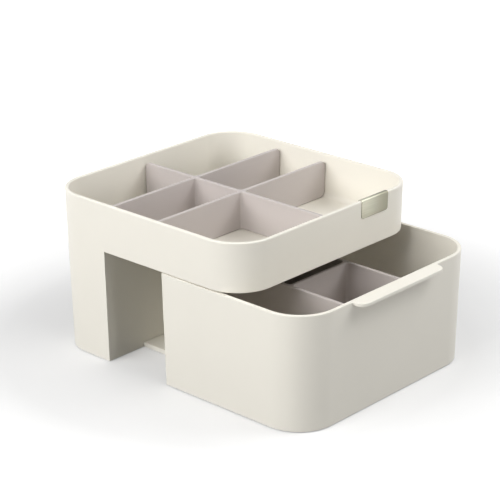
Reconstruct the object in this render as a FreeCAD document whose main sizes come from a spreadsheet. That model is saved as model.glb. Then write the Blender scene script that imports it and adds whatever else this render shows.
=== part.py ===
import FreeCAD, Part
import math
import os
import Sketcher

# Desk organizer: an open tray on a rear leg, with a drawer that slides out from under the tray.
# Frame: X to the right, Y towards the rear, Z up. The origin is on the table, under the middle of
# the tray. The drawer is drawn closed and is placed pulled out, as it stands at rest.

# Driving sizes, in millimetres and degrees
SIZES = {
    # Housing: tray and rear leg in one moulding
    "housing_width": 220.0,
    "housing_depth": 217.0,
    "housing_height": 141.0,
    "corner_radius": 34.0,
    "draft_angle": 1.2,
    "wall": 3.2,
    "rim_bevel": 0.8,
    "edge_bevel": 0.5,
    "tray_band": 41.8,
    "tray_floor": 3.0,
    "floor_fillet": 5.0,
    "leg_depth": 64.8,
    "housing_lift": 0.8,
    # Wells in the leg, open at the top
    "partition": 2.6,
    "well_floor_height": 16.5,
    "well_floor": 2.5,
    "core_draft": 0.4,
    "well_corner": 3.0,
    "well_bevel": 2.0,
    # Base plate with the tongue that the drawer runs on
    "plate_clearance": 0.4,
    "tongue_width": 134.0,
    "tongue_top": 4.5,
    "tongue_reach": 97.0,
    "tongue_corner": 12.0,
    "plate_skin": 2.2,
    "plate_flange": 2.0,
    "plate_rib": 1.4,
    "finger_width": 13.0,
    "finger_length": 30.0,
    "finger_slot": 1.4,
    "finger_offset": 45.0,
    "lug_height": 1.4,
    "lug_length": 5.0,
    # Screws, their bosses and cups
    "screw_offset": 58.0,
    "screw_row_gap": 36.0,
    "screw_front": 12.0,
    "screw_radius": 1.45,
    "screw_clearance": 0.2,
    "screw_length": 8.0,
    "screw_head_radius": 2.8,
    "screw_head_height": 1.6,
    "pilot_radius": 1.25,
    "boss_radius": 3.6,
    "cup_radius": 3.4,
    "cup_depth": 1.9,
    "cup_wall": 1.4,
    # Soft feet
    "foot_width": 12.0,
    "foot_height": 1.6,
    "foot_clearance": 0.2,
    "foot_rim": 1.5,
    "foot_from_side": 28.0,
    "foot_from_rear": 22.5,
    "foot_from_tongue_side": 21.0,
    "foot_from_tongue_front": 10.0,
    # Tag folded over the front rim
    "tag_width": 33.5,
    "tag_centre": 50.5,
    "tag_front_leaf": 15.5,
    "tag_rear_leaf": 9.0,
    "tag_sheet": 0.6,
    "tag_clearance": 0.05,
    "tag_corner": 2.5,
    # Grid that divides the tray
    "divider_plate": 3.2,
    "divider_drop": 5.8,
    "divider_clearance": 0.4,
    "divider_seat": 0.2,
    "divider_front_row": 99.5,
    "divider_end_radius": 5.0,
    "crossing_fillet": 2.5,
    # Drawer
    "drawer_gap_top": 0.8,
    "drawer_gap_rear": 0.5,
    "drawer_lift": 0.9,
    "drawer_corner_radius": 35.0,
    "drawer_rear_corner": 3.0,
    "drawer_floor_height": 9.0,
    "drawer_floor": 2.5,
    "drawer_fillet": 4.0,
    "running_gap": 0.3,
    "guide_gap": 0.5,
    "rib": 1.8,
    "guide_depth": 4.9,
    "runner_offset": 28.0,
    "drawer_travel": 110.0,
    "stop_gap": 0.3,
    "pull_at_rest": 63.8,
    # Pull tab on the drawer's front rim
    "tab_width": 104.0,
    "tab_reach": 10.4,
    "tab_thickness": 3.0,
    "tab_corner": 7.0,
    "tab_root_fillet": 3.0,
    # Insert that divides the drawer
    "insert_drop": 13.7,
    "insert_middle_width": 73.8,
    "insert_cross_front": 77.1,
}

CROSS_RIBS = 4
TINY = 0.01
THROUGH = 5.0

doc = FreeCAD.newDocument("Organizer")
sheet = doc.addObject("Spreadsheet::Sheet", "Sizes")
for row, (alias, number) in enumerate(SIZES.items(), start=1):
    sheet.set(f"A{row}", alias.replace("_", " "))
    sheet.set(f"B{row}", str(number))
    sheet.setAlias(f"B{row}", alias)
doc.recompute()


class Size:
    """A length that carries both its number and the spreadsheet formula that gives it."""

    def __init__(self, number, text):
        self.number = number
        self.text = text

    def __add__(self, other):
        other = as_size(other)
        return Size(self.number + other.number, f"({self.text} + {other.text})")

    def __sub__(self, other):
        other = as_size(other)
        return Size(self.number - other.number, f"({self.text} - {other.text})")

    def __mul__(self, factor):
        return Size(self.number * factor, f"({self.text} * {factor})")

    def __truediv__(self, factor):
        return Size(self.number / factor, f"({self.text} / {factor})")

    def __neg__(self):
        return Size(-self.number, f"(-1 * {self.text})")


def as_size(value):
    return value if isinstance(value, Size) else Size(float(value), str(float(value)))


class Named:
    """Gives each driving size as an attribute."""

    def __getattr__(self, alias):
        return Size(SIZES[alias], f"Sizes.{alias}")


s = Named()
ZERO = as_size(0)


def drawn_in(height):
    """How far a drafted wall comes in over a height."""
    slope = math.tan(math.radians(SIZES["draft_angle"]))
    return Size(height.number * slope, f"({height.text} * tan(Sizes.draft_angle))")


# Levels and faces that several pieces share
HALF_DEPTH = s.housing_depth / 2
TRAY_UNDERSIDE = s.housing_height - s.tray_band
TRAY_FLOOR = TRAY_UNDERSIDE + s.tray_floor
TRAY_DEPTH = s.housing_height - TRAY_FLOOR
LEG_FACE = HALF_DEPTH - s.leg_depth
LEG_BACK = LEG_FACE + s.wall
RECESS_ROOF = s.well_floor_height - s.well_floor
SKIRT_IN = drawn_in(s.housing_height - s.housing_lift) + s.wall
RECESS_WIDTH = s.housing_width - SKIRT_IN * 2
RECESS_REAR = HALF_DEPTH - SKIRT_IN
CUP_SEAT = s.housing_lift + s.cup_depth
DRAWER_TOP = TRAY_UNDERSIDE - s.drawer_gap_top
DRAWER_FRONT = HALF_DEPTH - drawn_in(s.tray_band)
DRAWER_REAR = LEG_FACE - s.drawer_gap_rear
DRAWER_WIDTH = s.housing_width - drawn_in(s.tray_band) * 2
DRAWER_LENGTH = DRAWER_FRONT + DRAWER_REAR
DRAWER_MIDDLE = (DRAWER_REAR - DRAWER_FRONT) / 2
DRAWER_SKIRT_IN = drawn_in(DRAWER_TOP - s.drawer_lift) + s.wall
DRAWER_UNDERSIDE = s.drawer_floor_height - s.drawer_floor
DRAWER_RECESS_REAR = DRAWER_REAR - DRAWER_SKIRT_IN
DRAWER_RECESS_LENGTH = DRAWER_LENGTH - DRAWER_SKIRT_IN * 2
RUNNER_BOTTOM = s.tongue_top + s.running_gap
LUG_REAR = DRAWER_RECESS_REAR - s.drawer_travel - s.stop_gap
SCREW_PLACES = [
    (s.screw_offset * side, LEG_BACK + s.screw_front + s.screw_row_gap * row)
    for row in (0, 1) for side in (-1, 1)
]
REAR_FOOT = (s.housing_width / 2 - s.foot_from_side, HALF_DEPTH - s.foot_from_rear)
FRONT_FOOT = (s.tongue_width / 2 - s.foot_from_tongue_side, s.foot_from_tongue_front - s.tongue_reach)
FOOT_PLACES = {
    f"foot_{row}_{side}": (x * sign, y)
    for row, (x, y) in (("rear", REAR_FOOT), ("front", FRONT_FOOT))
    for side, sign in (("left", -1), ("right", 1))
}


def new_body(name):
    body = doc.addObject("PartDesign::Body", name)
    body.Label = name
    return body


def flat_sketch(body, name, centre, role="XY_Plane"):
    """An empty sketch parallel to an origin plane, with its own origin at centre."""
    sketch = body.newObject("Sketcher::SketchObject", f"{body.Name}_{name}")
    plane = [item for item in body.Origin.OriginFeatures if item.Role == role][0]
    sketch.AttachmentSupport = [(plane, "")]
    sketch.MapMode = "FlatFace"
    for axis, value in zip("xyz", centre):
        sketch.setExpression(f"AttachmentOffset.Base.{axis}", as_size(value).text)
    return sketch


def dimension(sketch, name, kind, places, size):
    """Adds a named dimension whose value follows the spreadsheet."""
    index = sketch.addConstraint(Sketcher.Constraint(kind, *places, size.number))
    sketch.renameConstraint(index, name)
    sketch.setExpression(f"Constraints.{name}", size.text)


def outline(body, name, width, length, centre=(0, 0, 0), radii=(None,) * 4, role="XY_Plane"):
    """A rectangle about centre. radii go round from the low-left corner; None is a sharp corner."""
    sketch = flat_sketch(body, name, centre, role)
    half_x, half_y = width.number / 2, length.number / 2
    corners = [(-half_x, -half_y), (half_x, -half_y), (half_x, half_y), (-half_x, half_y)]
    ahead = [(1, 0), (0, 1), (-1, 0), (0, -1)]
    reach = [radius.number if radius else 0 for radius in radii]
    for turn in range(4):
        (x0, y0), (x1, y1), (dx, dy) = corners[turn], corners[(turn + 1) % 4], ahead[turn]
        start = FreeCAD.Vector(x0 + dx * reach[turn], y0 + dy * reach[turn], 0)
        step = reach[(turn + 1) % 4]
        end = FreeCAD.Vector(x1 - dx * step, y1 - dy * step, 0)
        sketch.addGeometry(Part.LineSegment(start, end), False)
        sketch.addConstraint(Sketcher.Constraint("Vertical" if turn % 2 else "Horizontal", turn))
    for turn, radius in enumerate(radii):
        before = (turn - 1) % 4
        if radius is None:
            sketch.addConstraint(Sketcher.Constraint("Coincident", before, 2, turn, 1))
            continue
        (x0, y0), (dx, dy), (px, py) = corners[turn], ahead[turn], ahead[before]
        middle = FreeCAD.Vector(x0 + (dx - px) * radius.number, y0 + (dy - py) * radius.number, 0)
        first = math.atan2(-dy, -dx)
        circle = Part.Circle(middle, FreeCAD.Vector(0, 0, 1), radius.number)
        arc = sketch.addGeometry(Part.ArcOfCircle(circle, first, first + math.pi / 2), False)
        sketch.addConstraint(Sketcher.Constraint("Tangent", before, 2, arc, 1))
        sketch.addConstraint(Sketcher.Constraint("Tangent", arc, 2, turn, 1))
        dimension(sketch, f"corner_{turn}", "Radius", (arc,), radius)
    dimension(sketch, "width", "DistanceX", (3, 1, 1, 1), width)
    dimension(sketch, "length", "DistanceY", (0, 1, 2, 1), length)
    dimension(sketch, "half_width", "DistanceX", (3, 1, -1, 1), width / 2)
    dimension(sketch, "half_length", "DistanceY", (0, 1, -1, 1), length / 2)
    return sketch


def locate(sketch, name, point, x, y):
    """Holds a sketch point at a place, which may lie on either side of the axes."""
    for kind, value, axis in (("DistanceX", as_size(x), -2), ("DistanceY", as_size(y), -1)):
        label = f"{name}_{kind[-1].lower()}"
        if abs(value.number) < TINY:
            sketch.addConstraint(Sketcher.Constraint("PointOnObject", *point, axis))
        elif value.number > 0:
            dimension(sketch, label, kind, (-1, 1, *point), value)
        else:
            dimension(sketch, label, kind, (*point, -1, 1), -value)


def discs(body, name, radius, places, height):
    """One sketch with a circle at each place."""
    sketch = flat_sketch(body, name, (0, 0, height))
    for number, (x, y) in enumerate(places):
        middle = FreeCAD.Vector(as_size(x).number, as_size(y).number, 0)
        circle = Part.Circle(middle, FreeCAD.Vector(0, 0, 1), radius.number)
        sketch.addGeometry(circle, False)
        dimension(sketch, f"radius_{number}", "Radius", (number,), radius)
        locate(sketch, f"middle_{number}", (number, 3), x, y)
    return sketch


def bars(body, name, rectangles, height):
    """One sketch with several separate rectangles, each given as x, y, width and length."""
    sketch = flat_sketch(body, name, (0, 0, height))
    for number, (x, y, width, length) in enumerate(rectangles):
        low_x, low_y = as_size(x) - width / 2, as_size(y) - length / 2
        x0, y0 = low_x.number, low_y.number
        x1, y1 = x0 + width.number, y0 + length.number
        corners = [(x0, y0), (x1, y0), (x1, y1), (x0, y1)]
        first = number * 4
        for turn in range(4):
            ends = [FreeCAD.Vector(*corners[(turn + step) % 4], 0) for step in (0, 1)]
            sketch.addGeometry(Part.LineSegment(*ends), False)
            kind = "Vertical" if turn % 2 else "Horizontal"
            sketch.addConstraint(Sketcher.Constraint(kind, first + turn))
        for turn in range(4):
            following = first + (turn + 1) % 4
            sketch.addConstraint(Sketcher.Constraint("Coincident", first + turn, 2, following, 1))
        dimension(sketch, f"width_{number}", "DistanceX", (first, 1, first, 2), width)
        dimension(sketch, f"length_{number}", "DistanceY", (first + 1, 1, first + 1, 2), length)
        locate(sketch, f"corner_{number}", (first, 1), low_x, low_y)
    return sketch


def volume_of(body):
    return body.Shape.Volume if body.Tip else 0.0


def extrude(body, kind, name, sketch, distance, reverse):
    feature = body.newObject(f"PartDesign::{kind}", f"{body.Name}_{name}")
    feature.Profile = sketch
    feature.Reversed = reverse
    feature.setExpression("Length", distance.text)
    return feature


def settle(feature):
    """Works the feature out and stops if it failed."""
    doc.recompute()
    if "Invalid" in feature.State or "Error" in feature.State or feature.Shape.isNull():
        raise RuntimeError(f"{feature.Name} failed")


def pad_up(body, name, sketch, distance):
    settle(extrude(body, "Pad", name, sketch, distance, False))


def pad_down(body, name, sketch, distance):
    settle(extrude(body, "Pad", name, sketch, distance, True))


def pad_both_ways(body, name, sketch, distance):
    feature = extrude(body, "Pad", name, sketch, distance, False)
    feature.SideType = "Symmetric"
    settle(feature)


def cut(body, name, sketch, distance, upwards=False, side_type="One side"):
    """A pocket, checked to take something away."""
    before = volume_of(body)
    feature = extrude(body, "Pocket", name, sketch, distance, upwards)
    feature.SideType = side_type
    settle(feature)
    if volume_of(body) > before - TINY:
        raise RuntimeError(f"{feature.Name} cuts nothing")


def span(low, high):
    """Test for a face or edge that reaches from one level to another."""
    def test(item):
        box = item.BoundBox
        return abs(box.ZMin - low.number) < TINY and abs(box.ZMax - high.number) < TINY
    return test


def level(height):
    return span(height, height)


def faces_of(feature, test):
    return [f"Face{n}" for n, face in enumerate(feature.Shape.Faces, start=1) if test(face)]


def edges_of(feature, test):
    return [f"Edge{n}" for n, edge in enumerate(feature.Shape.Edges, start=1) if test(edge)]


def drafted(body, name, faces, neutral, angle, inner):
    """Leans the side faces of the last feature, about the flat face at the neutral level."""
    last = body.Tip
    feature = body.newObject("PartDesign::Draft", f"{body.Name}_{name}")
    feature.Base = (last, faces)
    feature.NeutralPlane = (last, faces_of(last, level(neutral))[:1])
    feature.setExpression("Angle", angle.text)
    feature.Reversed = not inner
    settle(feature)


def treat_edges(body, kind, name, test, measure, size):
    """Fillets or chamfers the edges of the last feature that pass the test."""
    last = body.Tip
    edges = edges_of(last, test)
    if not edges:
        raise RuntimeError(f"{body.Name} {name} finds no edge")
    feature = body.newObject(f"PartDesign::{kind}", f"{body.Name}_{name}")
    feature.Base = (last, edges)
    feature.setExpression(measure, size.text)
    settle(feature)


def rounded(body, name, test, radius):
    treat_edges(body, "Fillet", name, test, "Radius", radius)


def bevelled(body, name, test, size):
    treat_edges(body, "Chamfer", name, test, "Size", size)


def combine(body, name, kind, tools):
    """Cuts other bodies out of this one, or keeps what they have in common."""
    feature = body.newObject("PartDesign::Boolean", f"{body.Name}_{name}")
    feature.setObjects(tools)
    feature.Type = kind
    settle(feature)


def place(body, x=ZERO, y=ZERO, z=ZERO):
    for axis, value in zip("xyz", (x, y, z)):
        body.setExpression(f"Placement.Base.{axis}", value.text)


def middle_of(item):
    return item.BoundBox.Center


def build_housing():
    """Tray and leg, open at the top, with the drawer bay under the tray."""
    body = new_body("housing_shell")
    all_corners = (s.corner_radius,) * 4
    rim = outline(body, "rim", s.housing_width, s.housing_depth, (0, 0, s.housing_height), all_corners)
    pad_down(body, "block", rim, s.housing_height - s.housing_lift)
    sides = faces_of(body.Tip, span(s.housing_lift, s.housing_height))
    drafted(body, "lean", sides, s.housing_height, s.draft_angle, inner=False)

    inner = outline(body, "tray", s.housing_width - s.wall * 2, s.housing_depth - s.wall * 2,
                    (0, 0, s.housing_height), (s.corner_radius - s.wall,) * 4)
    cut(body, "hollow", inner, TRAY_DEPTH)
    walls = faces_of(body.Tip, span(TRAY_FLOOR, s.housing_height))
    drafted(body, "hollow_lean", walls, s.housing_height, s.draft_angle, inner=True)
    rounded(body, "tray_fillet", level(TRAY_FLOOR), s.floor_fillet)

    bay_length = HALF_DEPTH + LEG_FACE + THROUGH
    bay = outline(body, "bay", s.housing_width + THROUGH, bay_length,
                  (0, LEG_FACE - bay_length / 2, TRAY_UNDERSIDE))
    cut(body, "drawer_bay", bay, TRAY_UNDERSIDE)

    cut_wells(body)
    cut_recess(body)

    bevelled(body, "rim_edge", level(s.housing_height), s.rim_bevel)

    def lower_edge(edge):
        return level(TRAY_UNDERSIDE)(edge) and edge.BoundBox.YMin < LEG_FACE.number - TINY
    bevelled(body, "lower_edge", lower_edge, s.edge_bevel)
    return body


def cut_wells(body):
    """Two deep wells in the leg, either side of a partition, clear of the tray's floor fillet."""
    mouth_level = TRAY_FLOOR + s.floor_fillet
    inside = s.wall + drawn_in(s.housing_height - mouth_level)
    width = s.housing_width / 2 - inside - s.partition / 2
    length = HALF_DEPTH - inside - LEG_BACK
    outer_radius = s.corner_radius - inside
    spaces = []
    for side, name in ((-1, "left_well"), (1, "right_well")):
        space = new_body(name)
        radii = [None] * 4
        radii[2 if side > 0 else 3] = outer_radius
        centre = ((s.partition / 2 + width / 2) * side, LEG_BACK + length / 2, mouth_level)
        pad_down(space, "block", outline(space, "mouth", width, length, centre, radii),
                 mouth_level - s.well_floor_height)
        whole = span(s.well_floor_height, mouth_level)

        def core_face(face):
            box = face.BoundBox
            by_partition = box.XLength < TINY and abs(box.Center.x) < s.partition.number
            by_front = box.YLength < TINY and abs(box.Center.y - LEG_BACK.number) < TINY
            return whole(face) and (by_partition or by_front)

        def shell_face(face):
            return whole(face) and not core_face(face)
        drafted(space, "shell_lean", faces_of(space.Tip, shell_face), mouth_level, s.draft_angle, False)
        drafted(space, "core_lean", faces_of(space.Tip, core_face), mouth_level, s.core_draft, False)

        def sharp_upright(edge):
            near_partition = abs(middle_of(edge).x) < s.partition.number
            near_front = abs(middle_of(edge).y - LEG_BACK.number) < s.partition.number
            return whole(edge) and (near_partition or near_front)
        rounded(space, "corners", sharp_upright, s.well_corner)
        bevelled(space, "bottom", level(s.well_floor_height), s.well_bevel)
        spaces.append(space)
    combine(body, "wells", "Cut", spaces)


def cut_recess(body):
    """Hollow under the leg for the base plate, with screw bosses and a notch for the tongue."""
    length = RECESS_REAR - LEG_BACK
    radius = s.corner_radius - SKIRT_IN
    recess = outline(body, "recess", RECESS_WIDTH, length,
                     (0, LEG_BACK + length / 2, s.housing_lift), (None, None, radius, radius))
    cut(body, "underside", recess, RECESS_ROOF - s.housing_lift, upwards=True)
    notch_length = s.wall + THROUGH
    notch = outline(body, "notch", s.tongue_width + s.plate_clearance * 2, notch_length,
                    (0, LEG_BACK - notch_length / 2 + s.wall / 2, s.housing_lift))
    cut(body, "tongue_notch", notch, s.tongue_top + s.running_gap - s.housing_lift, upwards=True)
    height = RECESS_ROOF - s.tongue_top
    pad_up(body, "bosses", discs(body, "boss", s.boss_radius, SCREW_PLACES, s.tongue_top),
           height + s.well_floor / 2)
    pilots = discs(body, "pilot", s.pilot_radius, SCREW_PLACES, s.tongue_top)
    cut(body, "pilot_holes", pilots, height, upwards=True)


def build_base_plate():
    """Ribbed plate that closes the leg, with the tongue that carries and guides the drawer."""
    body = new_body("base_plate")
    gap = s.plate_clearance
    rear_width = RECESS_WIDTH - gap * 2
    rear_length = RECESS_REAR - LEG_BACK - gap * 2
    rear_radius = s.corner_radius - SKIRT_IN - gap
    rear_middle = LEG_BACK + gap + rear_length / 2
    low = s.housing_lift
    thickness = s.tongue_top - low
    rear = outline(body, "rear", rear_width, rear_length, (0, rear_middle, low),
                   (None, None, rear_radius, rear_radius))
    pad_up(body, "rear_plate", rear, thickness)
    tongue_length = s.tongue_reach + rear_middle
    tongue = outline(body, "tongue", s.tongue_width, tongue_length,
                     (0, rear_middle - tongue_length / 2, low),
                     (s.tongue_corner, s.tongue_corner, None, None))
    pad_up(body, "tongue_plate", tongue, thickness)

    flange = s.plate_flange
    hollow_depth = thickness - s.plate_skin
    inner_radius = rear_radius - flange
    rear_hollow = outline(body, "rear_hollow", rear_width - flange * 2, rear_length - flange * 2,
                          (0, rear_middle, low), (None, None, inner_radius, inner_radius))
    cut(body, "hollow_rear", rear_hollow, hollow_depth, upwards=True)
    tongue_hollow = outline(body, "tongue_hollow", s.tongue_width - flange * 2, tongue_length - flange,
                            (0, rear_middle - (tongue_length - flange) / 2, low),
                            (s.tongue_corner - flange, s.tongue_corner - flange, None, None))
    cut(body, "hollow_tongue", tongue_hollow, hollow_depth, upwards=True)
    add_fingers(body, low)
    add_foot_seats(body, low)
    add_screw_cups(body, low)
    add_plate_ribs(body, low, hollow_depth)

    def tongue_rim(edge):
        box = edge.BoundBox
        at_side = max(-box.XMin, box.XMax) > s.tongue_width.number / 2 - TINY
        at_front = box.YMin < TINY - s.tongue_reach.number
        return level(s.tongue_top)(edge) and box.YMin < LEG_FACE.number and (at_side or at_front)
    bevelled(body, "tongue_edge", tongue_rim, s.edge_bevel)
    return body


def add_fingers(body, low):
    """Two spring fingers cut in the tongue, each with a lug that stops the drawer."""
    slot = s.finger_slot
    window_low = LUG_REAR - s.lug_length - slot
    places = [s.finger_offset * side for side in (-1, 1)]
    windows = bars(body, "windows", [
        (x, window_low + s.finger_length / 2, s.finger_width + slot * 2, s.finger_length)
        for x in places], low)
    cut(body, "finger_windows", windows, s.tongue_top - low, upwards=True)
    fingers = bars(body, "fingers", [
        (x, window_low + slot + s.finger_length / 2, s.finger_width, s.finger_length)
        for x in places], s.tongue_top - s.plate_skin)
    pad_up(body, "spring_fingers", fingers, s.plate_skin)
    for x, name in zip(places, ("left", "right")):
        add_lug(body, name, x)


def squares(body, name, places, width, height):
    return bars(body, name, [(x, y, width, width) for x, y in places], height)


def add_foot_seats(body, low):
    """Blocks in the plate's hollow with shallow wells for the soft feet."""
    places = list(FOOT_PLACES.values())
    width = s.foot_width + s.foot_clearance * 2
    blocks = squares(body, "foot_block", places, width + s.foot_rim * 2, low)
    pad_up(body, "foot_blocks", blocks, s.tongue_top - low)
    wells = squares(body, "foot_well", places, width, low)
    cut(body, "foot_wells", wells, s.foot_height - low, upwards=True)


def add_screw_cups(body, low):
    """Blocks under the leg's bosses with wells that sink the screw heads."""
    blocks = squares(body, "cup_block", SCREW_PLACES, (s.cup_radius + s.cup_wall) * 2, low)
    pad_up(body, "cup_blocks", blocks, s.tongue_top - low)
    wells = discs(body, "cup_well", s.cup_radius, SCREW_PLACES, low)
    cut(body, "cup_wells", wells, s.cup_depth, upwards=True)
    holes = discs(body, "cup_hole", s.screw_radius + s.screw_clearance, SCREW_PLACES, low)
    cut(body, "screw_holes", holes, s.tongue_top - low, upwards=True)


def add_plate_ribs(body, low, depth):
    """Ribs under the tongue: two along it, between the fingers, and a row across them."""
    height = depth + s.plate_skin / 2
    length = s.tongue_reach + LEG_FACE
    middle = (LEG_FACE - s.tongue_reach) / 2
    spread = s.finger_offset - s.finger_width
    along = bars(body, "long_ribs", [
        (spread * side, middle, s.plate_rib, length) for side in (-1, 1)], low)
    pad_up(body, "ribs_along", along, height)
    first = s.tongue_corner - s.tongue_reach
    step = (LEG_FACE - first) / (CROSS_RIBS + 1)
    across = bars(body, "cross_ribs", [
        (0, first + step * number, s.tongue_width - s.plate_flange, s.plate_rib)
        for number in range(1, CROSS_RIBS + 1)], low)
    pad_up(body, "ribs_across", across, height)


def add_lug(body, name, x):
    """A wedge on the finger: upright at the rear, sloping at the front."""
    sketch = flat_sketch(body, f"{name}_lug", (LUG_REAR, s.tongue_top, x), role="YZ_Plane")
    flat = s.lug_length.number / 2
    ramp = s.lug_length.number
    high = s.lug_height.number
    base = -s.plate_skin.number / 2
    points = [(-ramp, base), (0, base), (0, high), (-flat, high), (-ramp, 0)]
    for turn, start in enumerate(points):
        end = points[(turn + 1) % len(points)]
        sketch.addGeometry(Part.LineSegment(FreeCAD.Vector(*start, 0), FreeCAD.Vector(*end, 0)), False)
    for turn in range(len(points)):
        following = (turn + 1) % len(points)
        sketch.addConstraint(Sketcher.Constraint("Coincident", turn, 2, following, 1))
    for turn, kind in enumerate(("Horizontal", "Vertical", "Horizontal")):
        sketch.addConstraint(Sketcher.Constraint(kind, turn))
    sketch.addConstraint(Sketcher.Constraint("Vertical", 4))
    dimension(sketch, "length", "DistanceX", (0, 1, -1, 1), s.lug_length)
    dimension(sketch, "depth", "DistanceY", (0, 1, -1, 1), s.plate_skin / 2)
    dimension(sketch, "height", "DistanceY", (-1, 1, 1, 2), s.lug_height)
    dimension(sketch, "flat", "DistanceX", (2, 2, 2, 1), s.lug_length / 2)
    sketch.addConstraint(Sketcher.Constraint("PointOnObject", 1, 1, -2))
    sketch.addConstraint(Sketcher.Constraint("PointOnObject", 4, 1, -1))
    pad_both_ways(body, f"{name}_stop_lug", sketch, s.finger_width - s.edge_bevel * 2)


def build_screws():
    """Pan-head screws that come up through the base plate into the leg's bosses."""
    screws = []
    for number, (x, y) in enumerate(SCREW_PLACES):
        parts = []
        for label, radius, height, low in (
                ("head", s.screw_head_radius, s.screw_head_height, CUP_SEAT - s.screw_head_height),
                ("shank", s.screw_radius, s.screw_length, CUP_SEAT)):
            cylinder = doc.addObject("Part::Cylinder", f"screw_{label}_{number}")
            cylinder.setExpression("Radius", radius.text)
            cylinder.setExpression("Height", height.text)
            place(cylinder, x, y, low)
            parts.append(cylinder)
        screw = doc.addObject("Part::MultiFuse", f"screw_{number}")
        screw.Shapes = parts
        screws.append(screw)
    group = doc.addObject("Part::Compound", "base_screws")
    group.Label = "base_screws"
    group.Links = screws
    return group


def build_foot(name, x, y):
    """A soft square pad that stands out under the base plate."""
    body = new_body(name)
    pad_up(body, "pad", outline(body, "outline", s.foot_width, s.foot_width), s.foot_height)
    place(body, x, y, ZERO)
    return body


def build_tag():
    """A bare metal strip folded over the rim, leaning like the wall it hangs on."""
    body = new_body("metal_tag")
    inside = s.wall + s.tag_clearance * 2
    outside = inside + s.tag_sheet * 2
    bend = s.rim_bevel
    middle = s.wall / 2
    half_leaf = s.tag_front_leaf / 2
    top = s.tag_clearance + s.tag_sheet
    block = outline(body, "profile", outside, s.tag_front_leaf + top,
                    (middle, top / 2 - half_leaf, 0),
                    (None, None, bend + s.tag_sheet, bend + s.tag_sheet), role="YZ_Plane")
    pad_both_ways(body, "strip", block, s.tag_width)
    gap_height = s.tag_front_leaf + s.tag_clearance
    gap = outline(body, "gap", inside, gap_height,
                  (middle, s.tag_clearance - gap_height / 2, 0),
                  (None, None, bend, bend), role="YZ_Plane")
    cut(body, "fold", gap, s.tag_width + THROUGH, side_type="Symmetric")
    trim = s.tag_front_leaf - s.tag_rear_leaf
    short = outline(body, "short", s.tag_sheet * 3, trim,
                    (middle + inside / 2 + s.tag_sheet, trim / 2 - s.tag_front_leaf, 0), role="YZ_Plane")
    cut(body, "rear_leaf", short, s.tag_width + THROUGH, side_type="Symmetric")

    def leaf_corner(edge):
        box = edge.BoundBox
        across = box.XLength < TINY and box.ZLength < TINY
        return across and box.ZMax < s.tag_rear_leaf.number / -2
    rounded(body, "corners", leaf_corner, s.tag_corner)
    body.Placement = FreeCAD.Placement(
        FreeCAD.Vector(0, 0, 0), FreeCAD.Rotation(FreeCAD.Vector(1, 0, 0), SIZES["draft_angle"]))
    body.setExpression("Placement.Rotation.Angle", s.draft_angle.text)
    place(body, s.tag_centre, -HALF_DEPTH, s.housing_height)
    return body


def keep_inside(body, name, width, length, middle, top, depth, front_radius, rear_radius, fillet):
    """Trims a set of plates to the hollow that they stand in."""
    hollow = new_body(f"{body.Name}_space")
    space = outline(hollow, "mouth", width, length, (0, middle, top),
                    (front_radius, front_radius, rear_radius, rear_radius))
    pad_down(hollow, "space", space, depth)
    sides = faces_of(hollow.Tip, span(top - depth, top))
    drafted(hollow, "lean", sides, top, s.draft_angle, inner=False)
    rounded(hollow, "bottom", level(top - depth), fillet)
    combine(body, name, "Common", [hollow])


def build_tray_divider():
    """The grid in the tray: two plates across and one from front to rear."""
    body = new_body("tray_divider")
    top = s.housing_height - s.divider_drop
    low = TRAY_FLOOR + s.divider_seat
    height = top - low
    plate = s.divider_plate
    front_plate = s.divider_front_row - HALF_DEPTH + plate / 2
    rear_plate = LEG_FACE + plate / 2
    for name, y in (("front", front_plate), ("rear", rear_plate)):
        strip = outline(body, f"{name}_row", s.housing_width, plate, (0, y, low))
        pad_up(body, f"{name}_plate", strip, height)
    strip = outline(body, "middle", plate, s.housing_depth, (0, 0, low))
    pad_up(body, "long_plate", strip, height)

    def crossing(edge):
        near_x = abs(abs(middle_of(edge).x) - plate.number / 2) < TINY
        near_y = abs(middle_of(edge).y) < HALF_DEPTH.number - TINY
        return span(low, top)(edge) and near_x and near_y
    rounded(body, "crossings", crossing, s.crossing_fillet)
    wall = s.wall + s.divider_clearance
    radius = s.corner_radius - wall
    keep_inside(body, "trim", s.housing_width - wall * 2, s.housing_depth - wall * 2, ZERO,
                s.housing_height, TRAY_DEPTH - s.divider_seat, radius, radius, s.floor_fillet)

    def top_end(edge):
        box = edge.BoundBox
        across_end = box.XLength < TINY and abs(box.Center.x) > s.housing_width.number / 4
        long_end = box.YLength < TINY and abs(box.Center.y) > s.housing_depth.number * 0.4
        return level(top)(edge) and (across_end or long_end)
    rounded(body, "top_corners", top_end, s.divider_end_radius)
    return body


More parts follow.
